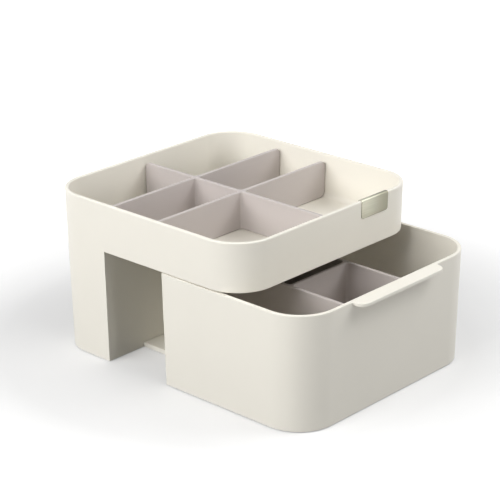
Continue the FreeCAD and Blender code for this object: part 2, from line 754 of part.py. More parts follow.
def build_drawer():
    """Drawer with a moulded pull tab, a raised floor and guide ribs under it."""
    body = new_body("drawer_box")
    front = s.drawer_corner_radius
    rim = outline(body, "rim", DRAWER_WIDTH, DRAWER_LENGTH, (0, DRAWER_MIDDLE, DRAWER_TOP),
                  (front, front, None, None))
    pad_down(body, "block", rim, DRAWER_TOP - s.drawer_lift)
    sides = faces_of(body.Tip, span(s.drawer_lift, DRAWER_TOP))
    drafted(body, "lean", sides, DRAWER_TOP, s.draft_angle, inner=False)

    def rear_upright(edge):
        straight = edge.BoundBox.ZLength > DRAWER_TOP.number / 2
        return straight and edge.BoundBox.YMax > DRAWER_REAR.number - s.wall.number - TINY
    rounded(body, "rear_corners", rear_upright, s.drawer_rear_corner)
    root = s.wall / 2
    tab = outline(body, "tab", s.tab_width, s.tab_reach + root,
                  (0, (root - s.tab_reach) / 2 - DRAWER_FRONT, DRAWER_TOP),
                  (s.tab_corner, s.tab_corner, None, None))
    pad_down(body, "pull_tab", tab, s.tab_thickness)

    def tab_root(edge):
        at_side = abs(abs(middle_of(edge).x) - s.tab_width.number / 2) < TINY
        at_wall = abs(middle_of(edge).y + DRAWER_FRONT.number) < s.wall.number / 2
        return span(DRAWER_TOP - s.tab_thickness, DRAWER_TOP)(edge) and at_side and at_wall
    rounded(body, "tab_roots", tab_root, s.tab_root_fillet)

    hollow = outline(body, "hollow", DRAWER_WIDTH - s.wall * 2, DRAWER_LENGTH - s.wall * 2,
                     (0, DRAWER_MIDDLE, DRAWER_TOP),
                     (front - s.wall, front - s.wall, None, None))
    cut(body, "inside", hollow, DRAWER_TOP - s.drawer_floor_height)
    walls = faces_of(body.Tip, span(s.drawer_floor_height, DRAWER_TOP))
    drafted(body, "inside_lean", walls, DRAWER_TOP, s.draft_angle, inner=True)

    def inner_edge(edge):
        box = edge.BoundBox
        upright = span(s.drawer_floor_height, DRAWER_TOP)(edge)
        at_rear = box.YMin > DRAWER_REAR.number - s.wall.number * 2
        return level(s.drawer_floor_height)(edge) or (upright and at_rear)
    rounded(body, "inside_fillet", inner_edge, s.drawer_fillet)
    bevelled(body, "rim_edge", level(DRAWER_TOP), s.rim_bevel)
    cut_drawer_underside(body)
    place(body, y=-s.pull_at_rest)
    return body


def cut_drawer_underside(body):
    """Skirt, runners, guides beside the tongue and the rear wall's notch."""
    low = s.drawer_lift
    width = DRAWER_WIDTH - DRAWER_SKIRT_IN * 2
    radius = s.drawer_corner_radius - DRAWER_SKIRT_IN
    recess = outline(body, "recess", width, DRAWER_RECESS_LENGTH, (0, DRAWER_MIDDLE, low),
                     (radius, radius, None, None))
    cut(body, "underside", recess, DRAWER_UNDERSIDE - low, upwards=True)
    guide_x = s.tongue_width / 2 + s.guide_gap + s.rib / 2
    into_floor = s.drawer_floor / 2
    length = DRAWER_RECESS_LENGTH + s.wall
    runners = bars(body, "runners", [
        (s.runner_offset * side, DRAWER_MIDDLE, s.rib, length) for side in (-1, 1)], RUNNER_BOTTOM)
    pad_up(body, "runner_ribs", runners, DRAWER_UNDERSIDE - RUNNER_BOTTOM + into_floor)
    guide_low = DRAWER_UNDERSIDE - s.guide_depth
    guides = bars(body, "guides", [
        (guide_x * side, DRAWER_MIDDLE, s.rib, length) for side in (-1, 1)], guide_low)
    pad_up(body, "guide_ribs", guides, s.guide_depth + into_floor)
    cross = width / 2 - guide_x + s.wall / 2
    stays = bars(body, "stays", [
        ((guide_x + cross / 2) * side, DRAWER_MIDDLE + DRAWER_LENGTH / 5 * row, cross, s.rib)
        for row in (-1, 0, 1) for side in (-1, 1)], DRAWER_UNDERSIDE - s.guide_depth / 2)
    pad_up(body, "side_stays", stays, s.guide_depth / 2 + into_floor)
    notch_length = s.wall + THROUGH
    notch = outline(body, "notch", s.tongue_width + s.guide_gap * 2, notch_length,
                    (0, DRAWER_RECESS_REAR + notch_length / 2 - s.wall / 4, low))
    cut(body, "rear_notch", notch, RUNNER_BOTTOM - low, upwards=True)


def build_drawer_divider():
    """H-shaped insert: two plates from front to rear and one between them."""
    body = new_body("drawer_divider")
    top = DRAWER_TOP - s.insert_drop
    low = s.drawer_floor_height + s.divider_seat
    height = top - low
    plate = s.divider_plate
    side_x = s.insert_middle_width / 2 - plate / 2
    for side, name in ((-1, "left"), (1, "right")):
        strip = outline(body, f"{name}_row", plate, DRAWER_LENGTH, (side_x * side, DRAWER_MIDDLE, low))
        pad_up(body, f"{name}_plate", strip, height)
    cross_y = s.insert_cross_front - DRAWER_FRONT + plate / 2
    strip = outline(body, "cross", s.insert_middle_width - plate, plate, (0, cross_y, low))
    pad_up(body, "cross_plate", strip, height)

    def crossing(edge):
        near_x = abs(abs(middle_of(edge).x) - (side_x - plate / 2).number) < TINY
        near_y = abs(abs(middle_of(edge).y - cross_y.number) - plate.number / 2) < TINY
        return span(low, top)(edge) and near_x and near_y
    rounded(body, "crossings", crossing, s.crossing_fillet)
    wall = s.wall + s.divider_clearance
    front = s.drawer_corner_radius - wall
    keep_inside(body, "trim", DRAWER_WIDTH - wall * 2, DRAWER_LENGTH - wall * 2, DRAWER_MIDDLE,
                DRAWER_TOP, DRAWER_TOP - low, front, None, s.drawer_fillet)

    def top_end(edge):
        box = edge.BoundBox
        from_middle = abs(box.Center.y - DRAWER_MIDDLE.number)
        return level(top)(edge) and box.YLength < TINY and from_middle > DRAWER_LENGTH.number / 3
    rounded(body, "top_corners", top_end, s.divider_end_radius)
    place(body, y=-s.pull_at_rest)
    return body


pieces = [
    build_housing(),
    build_base_plate(),
    build_screws(),
    build_tag(),
    build_tray_divider(),
    build_drawer(),
    build_drawer_divider(),
]
pieces += [build_foot(name, x, y) for name, (x, y) in FOOT_PLACES.items()]
doc.recompute()

for item in doc.Objects:
    if "Invalid" in item.State or "Error" in item.State:
        raise RuntimeError(f"{item.Label} failed: {item.State}")

os.makedirs("parts", exist_ok=True)
for piece in pieces:
    shape = piece.Shape
    if shape.isNull() or not shape.isValid():
        raise RuntimeError(f"{piece.Label} has a bad shape")
    print(f"{piece.Label}: {len(shape.Solids)} solid, {shape.Volume / 1000:.1f} cm3")
    shape.exportStep(os.path.join("parts", f"{piece.Label}.step"))
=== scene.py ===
import math

import bmesh
import bpy
from bpy.props import FloatProperty, FloatVectorProperty, IntProperty, PointerProperty
from bpy.types import Operator, Panel, PropertyGroup
from mathutils import Matrix, Vector


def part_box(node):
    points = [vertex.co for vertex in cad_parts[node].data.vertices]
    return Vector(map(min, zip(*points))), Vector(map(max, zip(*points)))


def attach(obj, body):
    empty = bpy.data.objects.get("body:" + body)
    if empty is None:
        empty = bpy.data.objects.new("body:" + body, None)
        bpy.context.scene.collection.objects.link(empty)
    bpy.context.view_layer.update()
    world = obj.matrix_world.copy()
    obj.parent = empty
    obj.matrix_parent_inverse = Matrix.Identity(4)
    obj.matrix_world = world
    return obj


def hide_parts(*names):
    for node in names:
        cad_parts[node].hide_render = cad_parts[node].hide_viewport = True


bl_info = {
    "name": "Cosmetic Organizer",
    "version": (1, 0, 0),
    "blender": (4, 5, 0),
    "location": "View3D > Sidebar > Organizer",
    "description": "Builds a desk organizer with a divided tray, a rear leg and a pull-out drawer",
    "category": "Add Mesh",
}

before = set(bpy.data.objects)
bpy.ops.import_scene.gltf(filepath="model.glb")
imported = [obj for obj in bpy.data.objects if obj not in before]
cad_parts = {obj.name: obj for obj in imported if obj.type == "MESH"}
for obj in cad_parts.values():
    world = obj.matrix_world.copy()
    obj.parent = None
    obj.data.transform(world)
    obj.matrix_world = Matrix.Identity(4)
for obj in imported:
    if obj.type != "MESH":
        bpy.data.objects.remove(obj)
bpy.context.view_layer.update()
MM = 0.001
HAIR = 0.05 * MM
STRAIGHT_BAND = 1.5 * MM
SMOOTH_BELOW = math.radians(35)
SHARP_ABOVE = math.radians(40)
CORNER_ABOVE = math.radians(45)
FLAT_WITHIN = math.radians(0.2)
STEEP_SHARE = 0.9
PLANE_SIZE = 12.0
LAMP_SIZE = 0.9
LAMP_DISTANCE = 1.8
LAMP_TARGET = Vector((0, -0.03, 0.06))

HOUSING_LOW, HOUSING_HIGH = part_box("housing_shell")
DRAWER_LOW, DRAWER_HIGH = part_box("drawer_box")
GRID_LOW, GRID_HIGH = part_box("tray_divider")
INSERT_LOW, INSERT_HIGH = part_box("drawer_divider")
TAG_LOW, TAG_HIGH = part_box("metal_tag")


# Settings that a user would change

def size(label, text, value):
    """A length in metres, given here in millimetres."""
    return FloatProperty(name=label, description=text, default=value * MM, min=0.0, precision=4,
                         subtype="DISTANCE", unit="LENGTH")


def angle(label, text, degrees):
    return FloatProperty(name=label, description=text, default=math.radians(degrees), precision=3,
                         subtype="ANGLE", unit="ROTATION")


def colour(label, text, value):
    return FloatVectorProperty(name=label, description=text, default=value, min=0.0, max=1.0,
                               size=3, subtype="COLOR")


def watts(label, text, value):
    return FloatProperty(name=label, description=text, default=value, min=0.0, precision=1)


def amount(label, text, value, low=0.0, high=1.0):
    return FloatProperty(name=label, description=text, default=value, min=low, max=high,
                         precision=3)


class MouldingSettings(PropertyGroup):
    """Sizes that every plastic moulding here shares."""
    draft: angle("Draft", "How far each side wall leans in towards the table", 1.2)
    wall: size("Wall", "Thickness of the side walls", 3.2)
    edge: size("Edge rounding", "Radius of the small outer edges", 0.7)
    corner_steps: IntProperty(name="Corner steps", description="Flats in each large round corner",
                              default=20, min=4, max=64)
    edge_steps: IntProperty(name="Edge steps", description="Flats in each small rounding",
                            default=3, min=1, max=8)


class HousingSettings(PropertyGroup):
    """The tray and the rear leg that carries it."""
    corner: size("Corner radius", "Radius of the four upright corners at the rim", 34.0)
    rim: size("Rim rounding", "Radius of the rim's inner and outer edge", 1.0)
    band: size("Tray band", "Height of the tray's side wall", 41.8)
    floor: size("Floor", "Thickness of the tray's floor", 3.0)
    floor_fillet: size("Floor fillet", "Radius where the walls meet the floor", 5.0)
    leg_depth: size("Leg depth", "Front to rear size of the leg at the rim", 64.8)
    partition: size("Partition", "Thickness of the wall between the two wells", 2.6)
    well_floor: size("Well floor", "Height of the wells' floor above the table", 16.5)
    well_fillet: size("Well fillet", "Radius of the wells' inner edges", 3.3)
    core_draft: angle("Core draft", "Lean of the wells' front wall and of the partition", 0.4)
    skirt: size("Skirt height", "Depth of the hollow under the leg", 13.2)
    tongue_gap: size("Tongue gap", "Width of the notch that the base plate's tongue passes", 134.8)
    tongue_room: size("Tongue room", "Height of that notch above the table", 4.8)


class DrawerSettings(PropertyGroup):
    """The drawer with its pull tab."""
    corner: size("Front corner radius", "Radius of the two front corners", 35.0)
    rear_corner: size("Rear corner radius", "Radius of the two rear corners", 3.0)
    rim: size("Rim rounding", "Radius of the rim's edges", 0.6)
    floor: size("Floor level", "Height of the inner floor above the table", 9.0)
    floor_fillet: size("Floor fillet", "Radius where the walls meet the floor", 4.0)
    underside: size("Underside", "Height of the floor's underside above the table", 6.5)
    tab_width: size("Tab width", "Width of the pull tab", 104.0)
    tab_reach: size("Tab reach", "How far the pull tab stands out", 10.4)
    tab_thickness: size("Tab thickness", "Thickness of the pull tab", 3.0)
    tab_corner: size("Tab corner", "Radius of the tab's outer corners", 8.0)
    tab_root: size("Tab root", "Radius where the tab meets the drawer", 2.3)
    tab_edge: size("Tab edge", "Radius of the tab's lower edge", 0.35)
    rib: size("Rib", "Thickness of the ribs under the floor", 1.8)
    rib_offset: size("Runner offset", "Distance of each runner from the middle", 28.0)
    guide_offset: size("Guide offset", "Distance of each guide from the middle", 68.4)
    guide_depth: size("Guide depth", "How far the guides hang under the floor", 4.9)
    runner_depth: size("Runner depth", "How far the runners hang under the floor", 1.7)


class DividerSettings(PropertyGroup):
    """The grid in the tray and the insert in the drawer."""
    plate: size("Plate", "Thickness of the dividing plates", 3.2)
    end: size("End rounding", "Radius of each plate's free corners", 5.0)
    crossing: size("Crossing fillet", "Radius where two plates cross", 2.5)
    edge: size("Edge rounding", "Radius of the plates' edges", 0.8)
    front_row: size("Front row", "Front wall to the first cross plate of the tray grid", 99.5)
    insert_width: size("Insert width", "Width between the insert's outer faces", 73.8)
    insert_cross: size("Insert cross plate", "Drawer front to the insert's cross plate", 77.1)


class TagSettings(PropertyGroup):
    """The bare metal tag folded over the front rim."""
    front_leaf: size("Front leaf", "Height of the leaf in front", 15.5)
    rear_leaf: size("Rear leaf", "Height of the leaf behind the rim", 9.0)
    sheet: size("Sheet", "Thickness of the metal", 0.6)
    gap: size("Gap", "Air between the metal and the wall", 0.05)
    corner: size("Corner", "Radius of the leaves' free corners", 2.5)
    edge: size("Edge rounding", "Radius of the sheet's edges", 0.14)


class FinishSettings(PropertyGroup):
    """Colours and surface of each material."""
    cream: colour("Cream", "Colour of the housing and the drawer", (0.865, 0.833, 0.748))
    taupe: colour("Taupe", "Colour of the dividers", (0.530, 0.484, 0.466))
    metal: colour("Champagne", "Colour of the tag at its left end", (0.470, 0.460, 0.375))
    # Painted shade: the tag's colour darkens from the champagne at its left end to this colour at
    # its right end.
    metal_painted_shade: colour("Champagne, shaded", "Colour of the tag at its right end",
                      (0.235, 0.227, 0.172))
    steel: colour("Steel", "Colour of the screws", (0.500, 0.500, 0.510))
    rubber: colour("Rubber", "Colour of the feet", (0.035, 0.035, 0.036))
    plastic_gloss: amount("Plastic roughness", "Roughness of the moulded plastic", 0.42)
    metal_gloss: amount("Metal roughness", "Roughness of the brushed metal", 0.34)


class StageSettings(PropertyGroup):
    """Camera, lamps and floor."""
    azimuth: angle("Azimuth", "Direction of the camera round the object", -47.332)
    elevation: angle("Elevation", "Height of the camera as an angle", 21.405)
    roll: angle("Roll", "Turn of the camera about its view", -0.248)
    distance: FloatProperty(name="Distance", description="From the camera to the point it aims at",
                            default=1.566, unit="LENGTH", subtype="DISTANCE")
    aim: FloatVectorProperty(name="Aim", description="Point that the camera aims at",
                             default=(0.0286, 0.0093, 0.0697), size=3, unit="LENGTH", subtype="XYZ")
    lens: FloatProperty(name="Lens", description="Focal length in millimetres",
                        default=131.38, min=1.0)
    key: watts("Key lamp", "Power of the lamp at the left", 20.2)
    side: watts("Side lamp", "Power of the lamp behind at the left", 9.5)
    front: watts("Front lamp", "Power of the lamp in front", 7.2)
    top: watts("Top lamp", "Power of the lamp overhead", 5.0)
    right: watts("Right lamp", "Power of the lamp at the right", 15.0)
    rear: watts("Rear lamp", "Power of the lamp behind", 3.2)
    ambient: amount("Ambient", "Strength of the even light all round", 0.12, high=2.0)
    floor: colour("Floor", "Colour of the floor where it lights the object", (0.14, 0.14, 0.14))
    floor_seen: colour("Floor as seen", "Colour of the floor where it shows", (0.66, 0.66, 0.66))
    floor_lift: amount("Floor lift", "White added to the floor near the object where it shows",
                       0.24)
    floor_fade: FloatProperty(name="Floor fade",
                              description="Distance at which the floor has become plain white",
                              default=0.6, unit="LENGTH", subtype="DISTANCE")


# Selecting and shaping

def clear_selection():
    """Leaves edit mode and deselects everything, so an operator acts on nothing by chance."""
    if bpy.context.object and bpy.context.object.mode != "OBJECT":
        bpy.ops.object.mode_set(mode="OBJECT")
    bpy.ops.object.select_all(action="DESELECT")


def choose(piece):
    """Selects one piece alone, in object mode."""
    clear_selection()
    piece.select_set(True)
    bpy.context.view_layer.objects.active = piece


def edit(piece):
    """Opens one piece for editing."""
    choose(piece)
    bpy.ops.object.mode_set(mode="EDIT")


def leave_edit():
    bpy.ops.object.mode_set(mode="OBJECT")


def corners_of(item):
    """Places of a vertex itself, or of an edge's or a face's vertices."""
    if isinstance(item, bmesh.types.BMVert):
        return [item.co]
    return [vert.co for vert in item.verts]


def middle(item):
    """Centre of a vertex, an edge or a face."""
    corners = corners_of(item)
    return sum(corners, Vector()) / len(corners)


def at_level(item, level):
    """True where the whole vertex, edge or face lies at that height."""
    return all(abs(corner.z - level) < HAIR for corner in corners_of(item))


def upright(edge):
    """True for an edge that runs up a wall, drafted or not."""
    low, high = (vert.co for vert in edge.verts)
    return abs(high.z - low.z) > STEEP_SHARE * (high - low).length


def pick(kind, test):
    """In edit mode, selects the vertices, edges or faces that pass the test, and nothing else."""
    bpy.ops.mesh.select_mode(type=kind)
    bpy.ops.mesh.select_all(action="DESELECT")
    mesh = bmesh.from_edit_mesh(bpy.context.object.data)
    items = {"VERT": mesh.verts, "EDGE": mesh.edges, "FACE": mesh.faces}[kind]
    chosen = [item for item in items if test(item)]
    if not chosen:
        raise RuntimeError(f"nothing to pick on {bpy.context.object.name}")
    for item in chosen:
        item.select_set(True)
    bmesh.update_edit_mesh(bpy.context.object.data)


def bevel_picked(radius, steps, affect="EDGES"):
    bpy.ops.mesh.bevel(offset=radius, segments=steps, affect=affect, clamp_overlap=False)


def step_in(inwards, along):
    """Insets the picked faces and moves the inner face along its normal: one ring of a wall."""
    bpy.ops.mesh.inset(thickness=inwards, depth=along, use_even_offset=True)


def flat_plate(name, low, high, level):
    """A rectangle at a level, open for editing."""
    clear_selection()
    centre = ((low[0] + high[0]) / 2, (low[1] + high[1]) / 2, level)
    bpy.ops.mesh.primitive_plane_add(size=1, location=centre)
    piece = bpy.context.object
    piece.name = name
    piece.scale = (high[0] - low[0], high[1] - low[1], 1)
    bpy.ops.object.transform_apply(location=True, rotation=True, scale=True)
    bpy.ops.object.mode_set(mode="EDIT")
    return piece


def round_corners(test, radius, steps):
    pick("VERT", test)
    bevel_picked(radius, steps, "VERTICES")


def block_down(depth):
    """Gives the open plate a body below it."""
    bpy.ops.mesh.select_all(action="SELECT")
    bpy.ops.mesh.extrude_region_move(TRANSFORM_OT_translate={"value": (0, 0, -depth)})
    bpy.ops.mesh.select_all(action="SELECT")
    bpy.ops.mesh.normals_make_consistent(inside=False)


def plain_block(name, low, high):
    """A box between two corners, in object mode."""
    piece = flat_plate(name, low, high, high[2])
    block_down(high[2] - low[2])
    leave_edit()
    return piece


def modify(piece, kind, **settings):
    """Adds a modifier with these settings and applies it."""
    bpy.ops.object.modifier_add(type=kind)
    modifier = piece.modifiers[-1]
    for name, value in settings.items():
        setattr(modifier, name, value)
    bpy.ops.object.modifier_apply(modifier=modifier.name)


def combine(piece, other, operation):
    """Adds the other piece to this one or cuts it out, and removes it."""
    choose(piece)
    modify(piece, "BOOLEAN", operation=operation, solver="EXACT", object=other)
    bpy.data.objects.remove(other)


def soften(piece, radius, steps):
    """Rounds every edge that is still sharp."""
    choose(piece)
    modify(piece, "BEVEL", width=radius, segments=steps, limit_method="ANGLE",
           angle_limit=SHARP_ABOVE, use_clamp_overlap=False, harden_normals=False)


def smooth(piece):
    """Shades the roundings smooth and keeps the large flats flat."""
    choose(piece)
    bpy.ops.object.shade_smooth_by_angle(angle=SMOOTH_BELOW)
    modify(piece, "WEIGHTED_NORMAL", mode="FACE_AREA_WITH_ANGLE", keep_sharp=True)


def stand_for(piece, node, body, material):
    """Puts a finished piece in the place of its solid."""
    piece.data.materials.clear()
    piece.data.materials.append(material)
    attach(piece, body)
    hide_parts(node)
    clear_selection()


# Materials

def new_material(name):
    material = bpy.data.materials.new(name)
    material.use_nodes = True
    tree = material.node_tree
    return material, tree, tree.nodes["Principled BSDF"]


def object_texture(tree, kind, scale, stretch=(1, 1, 1)):
    """A texture that reads the piece's own coordinates, in metres."""
    place = tree.nodes.new("ShaderNodeTexCoord")
    mapping = tree.nodes.new("ShaderNodeMapping")
    mapping.inputs["Scale"].default_value = stretch
    texture = tree.nodes.new(kind)
    texture.inputs["Scale"].default_value = scale
    tree.links.new(place.outputs["Object"], mapping.inputs["Vector"])
    tree.links.new(mapping.outputs["Vector"], texture.inputs["Vector"])
    return texture


def tint(tree, texture, surface, base, spread):
    """Lets the colour drift a little about its base."""
    ramp = tree.nodes.new("ShaderNodeValToRGB")
    for stop, share in zip(ramp.color_ramp.elements, (1 - spread, 1 + spread)):
        stop.color = [min(channel * share, 1.0) for channel in base] + [1.0]
    ramp.color_ramp.elements[0].position = 0.3
    ramp.color_ramp.elements[1].position = 0.7
    tree.links.new(texture.outputs[0], ramp.inputs["Fac"])
    tree.links.new(ramp.outputs["Color"], surface.inputs["Base Color"])
    return ramp.outputs["Color"]


def gloss(tree, texture, surface, low, high):
    """Lets the roughness drift between two values."""
    spread = tree.nodes.new("ShaderNodeMapRange")
    spread.inputs["To Min"].default_value = low
    spread.inputs["To Max"].default_value = high
    tree.links.new(texture.outputs[0], spread.inputs["Value"])
    tree.links.new(spread.outputs["Result"], surface.inputs["Roughness"])


def relief(tree, texture, surface, height, strength):
    """Raises a fine grain."""
    bump = tree.nodes.new("ShaderNodeBump")
    bump.inputs["Distance"].default_value = height
    bump.inputs["Strength"].default_value = strength
    tree.links.new(texture.outputs[0], bump.inputs["Height"])
    tree.links.new(bump.outputs["Normal"], surface.inputs["Normal"])


def moulded_plastic(name, base, roughness):
    """Satin moulded plastic: a faint mottle, a fine spark-eroded grain and an uneven sheen."""
    material, tree, surface = new_material(name)
    cloud = object_texture(tree, "ShaderNodeTexNoise", scale=14.0)
    cloud.inputs["Detail"].default_value = 3.0
    tint(tree, cloud, surface, base, spread=0.012)
    sheen = object_texture(tree, "ShaderNodeTexNoise", scale=60.0)
    gloss(tree, sheen, surface, low=roughness - 0.05, high=roughness + 0.05)
    grain = object_texture(tree, "ShaderNodeTexNoise", scale=2600.0)
    grain.inputs["Detail"].default_value = 2.0
    relief(tree, grain, surface, height=0.02 * MM, strength=0.25)
    surface.inputs["IOR"].default_value = 1.49
    return material


def brushed_metal(name, base, roughness, along):
    """Metal with brush strokes. along squeezes the pattern on the axes across the strokes."""
    material, tree, surface = new_material(name)
    surface.inputs["Metallic"].default_value = 1.0
    strokes = object_texture(tree, "ShaderNodeTexNoise", scale=40.0, stretch=along)
    strokes.inputs["Detail"].default_value = 6.0
    tint(tree, strokes, surface, base, spread=0.10)
    gloss(tree, strokes, surface, low=roughness - 0.08, high=roughness + 0.10)
    relief(tree, strokes, surface, height=0.03 * MM, strength=0.35)
    return material


def champagne_metal(name, base, far, roughness):
    """The tag's metal, brushed across, with painted shade that darkens its colour towards its right
    end.
    """
    material = brushed_metal(name, base, roughness, (1, 1, 40))
    tree = material.node_tree
    surface = tree.nodes["Principled BSDF"]
    near = surface.inputs["Base Color"].links[0].from_socket
    place = tree.nodes.new("ShaderNodeTexCoord")
    split = tree.nodes.new("ShaderNodeSeparateXYZ")
    along = tree.nodes.new("ShaderNodeMapRange")
    along.interpolation_type = "SMOOTHSTEP"
    along.inputs["From Min"].default_value = TAG_LOW.x
    along.inputs["From Max"].default_value = TAG_HIGH.x
    # Painted shade: the brushed colour blends into the darker far colour from the tag's left end to
    # its right end.
    painted_shade_mix = tree.nodes.new("ShaderNodeMix")
    painted_shade_mix.data_type = "RGBA"
    painted_shade_mix.inputs["B"].default_value = (*far, 1.0)
    tree.links.new(place.outputs["Object"], split.inputs["Vector"])
    tree.links.new(split.outputs["X"], along.inputs["Value"])
    tree.links.new(along.outputs["Result"], painted_shade_mix.inputs["Factor"])
    tree.links.new(near, painted_shade_mix.inputs["A"])
    tree.links.new(painted_shade_mix.outputs["Result"], surface.inputs["Base Color"])
    return material


def soft_rubber(name, base):
    """Matte rubber with a coarse grain."""
    material, tree, surface = new_material(name)
    grain = object_texture(tree, "ShaderNodeTexNoise", scale=900.0)
    tint(tree, grain, surface, base, spread=0.25)
    gloss(tree, grain, surface, low=0.72, high=0.92)
    relief(tree, grain, surface, height=0.06 * MM, strength=0.5)
    return material


def finish(name):
    """The material of that name, made the first time that it is asked for."""
    if name in bpy.data.materials:
        return bpy.data.materials[name]
    looks = bpy.context.scene.organizer_finish
    if name == "cream_plastic":
        return moulded_plastic(name, looks.cream, looks.plastic_gloss)
    if name == "taupe_plastic":
        return moulded_plastic(name, looks.taupe, looks.plastic_gloss + 0.06)
    if name == "champagne_metal":
        return champagne_metal(name, looks.metal, looks.metal_painted_shade, looks.metal_gloss)
    if name == "screw_steel":
        return brushed_metal(name, looks.steel, looks.metal_gloss, (20, 20, 1))
    return soft_rubber(name, looks.rubber)


# Pieces

def leaning_block(name, low, high, top, bottom, corners, above=0.0):
    """A body whose walls lean in towards the table, from a rectangle at the rim.

    corners pairs a test for the rectangle's corners with their radius. above raises the body
    over the rim, for a tool that cuts an open hollow."""
    shape = bpy.context.scene.organizer_moulding
    piece = flat_plate(name, low, high, top + above)
    for test, radius in corners:
        round_corners(test, radius, shape.corner_steps)
    block_down(STRAIGHT_BAND + above)
    depth = top - STRAIGHT_BAND - bottom
    pick("FACE", lambda face: at_level(face, top - STRAIGHT_BAND))
    step_in(depth * math.tan(shape.draft), depth)
    return piece


def steep_corner(edge):
    """True for an upright edge that no rounding has softened yet."""
    return upright(edge) and edge.calc_face_angle(0.0) > CORNER_ABOVE


def rim_edge(top):
    """Test for the edges round a rim's flat top."""
    def test(edge):
        return at_level(edge, top) and any(abs(face.normal.z) < 0.5 for face in edge.link_faces)
    return test


def tidy_flats(piece):
    """Joins the flat faces that a cut or a union has split."""
    edit(piece)
    bpy.ops.mesh.select_all(action="SELECT")
    bpy.ops.mesh.remove_doubles(threshold=HAIR / 10)
    bpy.ops.mesh.dissolve_limited(angle_limit=FLAT_WITHIN)
    leave_edit()


class ORGANIZER_OT_housing(Operator):
    """Models the tray and the leg in one moulding"""
    bl_idname = "organizer.housing"
    bl_label = "Tray and leg"

    def execute(self, context):
        shape = context.scene.organizer_moulding
        sizes = context.scene.organizer_housing
        top, bottom = HOUSING_HIGH.z, HOUSING_LOW.z
        rear = HOUSING_HIGH.y
        leg_front = rear - sizes.leg_depth
        leg_back = leg_front + shape.wall
        underside = top - sizes.band
        floor = underside + sizes.floor

        piece = leaning_block("organizer_shell", HOUSING_LOW, HOUSING_HIGH, top, bottom,
                              [(lambda vert: True, sizes.corner)])
        leave_edit()
        inset = Vector((shape.wall, shape.wall, 0))
        hollow = leaning_block("hollow", HOUSING_LOW + inset, HOUSING_HIGH - inset, top, floor,
                               [(lambda vert: True, sizes.corner - shape.wall)], above=shape.wall)
        pick("EDGE", lambda edge: at_level(edge, floor))
        bevel_picked(sizes.floor_fillet, shape.edge_steps + 2)
        combine(piece, hollow, "DIFFERENCE")
        for side in (-1, 1):
            combine(piece, self.well(side, floor, leg_back, sizes), "DIFFERENCE")

        reach = 2 * shape.wall
        bay = plain_block("bay", HOUSING_LOW - Vector((reach, reach, reach)),
                          Vector((HOUSING_HIGH.x + reach, leg_front, underside)))
        combine(piece, bay, "DIFFERENCE")
        self.hollow_leg(piece, leg_back, sizes)
        tidy_flats(piece)

        edit(piece)
        pick("EDGE", rim_edge(top))
        bevel_picked(sizes.rim, shape.edge_steps)

        def lower_edge(edge):
            return at_level(edge, underside) and middle(edge).y < leg_front - HAIR
        pick("EDGE", lower_edge)
        bevel_picked(shape.edge, shape.edge_steps)
        leave_edit()
        smooth(piece)
        stand_for(piece, "housing_shell", "housing", finish("cream_plastic"))
        return {"FINISHED"}

    def well(self, side, floor, leg_back, sizes):
        """The space of one deep well, from a little over the tray's floor fillet."""
        shape = bpy.context.scene.organizer_moulding
        mouth = floor + sizes.floor_fillet
        inside = shape.wall + (HOUSING_HIGH.z - mouth) * math.tan(shape.draft) + HAIR / 2
        near, far = sizes.partition / 2, HOUSING_HIGH.x - inside
        low = Vector((min(near * side, far * side), leg_back))
        high = Vector((max(near * side, far * side), HOUSING_HIGH.y - inside))

        def outer_rear(vert):
            return vert.co.y > leg_back + inside and abs(vert.co.x) > near + inside
        space = leaning_block("well", low, high, mouth, sizes.well_floor,
                              [(outer_rear, sizes.corner - inside)], above=shape.wall)
        steeper = (mouth - sizes.well_floor) * (math.tan(shape.draft) - math.tan(sizes.core_draft))

        def low_front(vert):
            return at_level(vert, sizes.well_floor) and vert.co.y < leg_back + inside
        pick("VERT", low_front)
        bpy.ops.transform.translate(value=(0, -steeper, 0))

        def low_inner(vert):
            return at_level(vert, sizes.well_floor) and abs(vert.co.x) < near + inside
        pick("VERT", low_inner)
        bpy.ops.transform.translate(value=(-steeper * side, 0, 0))

        def inner_edge(edge):
            return at_level(edge, sizes.well_floor) or steep_corner(edge)
        pick("EDGE", inner_edge)
        bevel_picked(sizes.well_fillet, shape.edge_steps + 1)
        leave_edit()
        return space

    def hollow_leg(self, piece, leg_back, sizes):
        """Cuts the hollow for the base plate and the notch for its tongue."""
        shape = bpy.context.scene.organizer_moulding
        bottom = HOUSING_LOW.z
        inwards = shape.wall + (HOUSING_HIGH.z - bottom) * math.tan(shape.draft)
        low = Vector((HOUSING_LOW.x + inwards, leg_back))
        high = Vector((HOUSING_HIGH.x - inwards, HOUSING_HIGH.y - inwards))
        recess = flat_plate("recess", low, high, bottom + sizes.skirt)
        round_corners(lambda vert: vert.co.y > leg_back + HAIR,
                      sizes.corner - inwards, shape.corner_steps)
        block_down(sizes.skirt + shape.wall)
        combine(piece, recess, "DIFFERENCE")
        half = sizes.tongue_gap / 2
        notch = plain_block("notch",
                            Vector((-half, leg_back - 2 * shape.wall, bottom - shape.wall)),
                            Vector((half, leg_back + shape.wall, sizes.tongue_room)))
        combine(piece, notch, "DIFFERENCE")


